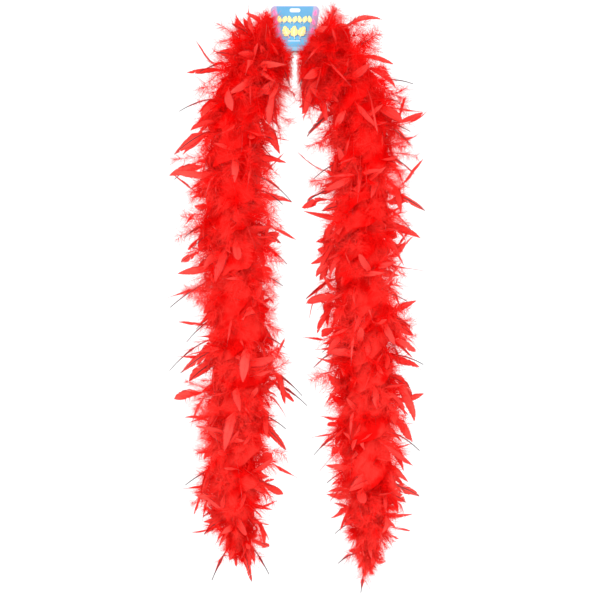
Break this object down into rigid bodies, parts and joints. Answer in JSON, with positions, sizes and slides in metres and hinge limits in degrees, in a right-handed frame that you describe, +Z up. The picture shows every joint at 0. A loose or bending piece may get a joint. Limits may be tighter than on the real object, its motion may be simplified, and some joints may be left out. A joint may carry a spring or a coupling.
{
  "type": "feather boa",
  "caption": "Fluffy red feather boa on a limp core cord, draped in an inverted U through a slotted hang card for retail display; worn round the neck.",
  "frame": {"origin": "middle of the hang card's slot, halfway between the two card panels", "axes": "+Z up along the hang card, the strands hang towards -Z; -Y is the card's printed front; +X to the right seen from the front"},
  "size_m": [0.4302, 0.176, 0.9822],
  "materials": {
    "card_print": "semi-gloss printed card",
    "card_plain": "matte uncoated card",
    "staple_wire": "bright wire",
    "core_cord": "dyed two-ply cotton string",
    "down": "matte dyed down",
    "plumes": "dyed feather, faint sheen"
  },
  "bodies": {
    "hang_card": {"card_front_panel": "card_print", "card_back_panel": "card_plain", "card_staples": "staple_wire"},
    "centre": {"centre_cord": "core_cord"},
    "left_1": {"left_cord_1": "core_cord", "left_down_1": "down", "left_plumes_1": "plumes"},
    "left_2": {"left_cord_2": "core_cord", "left_down_2": "down", "left_plumes_2": "plumes"},
    "left_3": {"left_cord_3": "core_cord", "left_down_3": "down", "left_plumes_3": "plumes"},
    "left_4": {"left_cord_4": "core_cord", "left_down_4": "down", "left_plumes_4": "plumes"},
    "left_5": {"left_cord_5": "core_cord", "left_down_5": "down", "left_plumes_5": "plumes"},
    "left_6": {"left_cord_6": "core_cord", "left_down_6": "down", "left_plumes_6": "plumes"},
    "right_1": {"right_cord_1": "core_cord", "right_down_1": "down", "right_plumes_1": "plumes"},
    "right_2": {"right_cord_2": "core_cord", "right_down_2": "down", "right_plumes_2": "plumes"},
    "right_3": {"right_cord_3": "core_cord", "right_down_3": "down", "right_plumes_3": "plumes"},
    "right_4": {"right_cord_4": "core_cord", "right_down_4": "down", "right_plumes_4": "plumes"},
    "right_5": {"right_cord_5": "core_cord", "right_down_5": "down", "right_plumes_5": "plumes"},
    "right_6": {"right_cord_6": "core_cord", "right_down_6": "down", "right_plumes_6": "plumes"}
  },
  "joints": [
    {"name": "card_swivel", "type": "hinge", "parent": "hang_card", "child": "centre", "pos_m": [0, 0, -0.061], "axis": [1, 0, 0], "range_deg": [-25, 25]},
    {"name": "left_swing_1", "type": "hinge", "parent": "centre", "child": "left_1", "pos_m": [-0.034, 0, -0.061], "axis": [0, 1, 0], "range_deg": [0, 15]},
    {"name": "left_fold_2", "type": "hinge", "parent": "left_1", "child": "left_2", "pos_m": [-0.078, 0, -0.118], "axis": [1, 0, 0], "range_deg": [-25, 25]},
    {"name": "left_swing_3", "type": "hinge", "parent": "left_2", "child": "left_3", "pos_m": [-0.104, 0, -0.247], "axis": [0, 1, 0], "range_deg": [-8, 30]},
    {"name": "left_fold_4", "type": "hinge", "parent": "left_3", "child": "left_4", "pos_m": [-0.102, 0, -0.412], "axis": [1, 0, 0], "range_deg": [-25, 25]},
    {"name": "left_swing_5", "type": "hinge", "parent": "left_4", "child": "left_5", "pos_m": [-0.091, 0, -0.577], "axis": [0, 1, 0], "range_deg": [-8, 30]},
    {"name": "left_fold_6", "type": "hinge", "parent": "left_5", "child": "left_6", "pos_m": [-0.101, 0, -0.742], "axis": [1, 0, 0], "range_deg": [-25, 25]},
    {"name": "right_swing_1", "type": "hinge", "parent": "centre", "child": "right_1", "pos_m": [0.034, 0, -0.061], "axis": [0, 1, 0], "range_deg": [-15, 0]},
    {"name": "right_fold_2", "type": "hinge", "parent": "right_1", "child": "right_2", "pos_m": [0.084, 0, -0.105], "axis": [1, 0, 0], "range_deg": [-25, 25]},
    {"name": "right_swing_3", "type": "hinge", "parent": "right_2", "child": "right_3", "pos_m": [0.115, 0, -0.222], "axis": [0, 1, 0], "range_deg": [-30, 8]},
    {"name": "right_fold_4", "type": "hinge", "parent": "right_3", "child": "right_4", "pos_m": [0.106, 0, -0.387], "axis": [1, 0, 0], "range_deg": [-25, 25]},
    {"name": "right_swing_5", "type": "hinge", "parent": "right_4", "child": "right_5", "pos_m": [0.119, 0, -0.552], "axis": [0, 1, 0], "range_deg": [-30, 8]},
    {"name": "right_fold_6", "type": "hinge", "parent": "right_5", "child": "right_6", "pos_m": [0.115, 0, -0.717], "axis": [1, 0, 0], "range_deg": [-25, 25]}
  ]
}
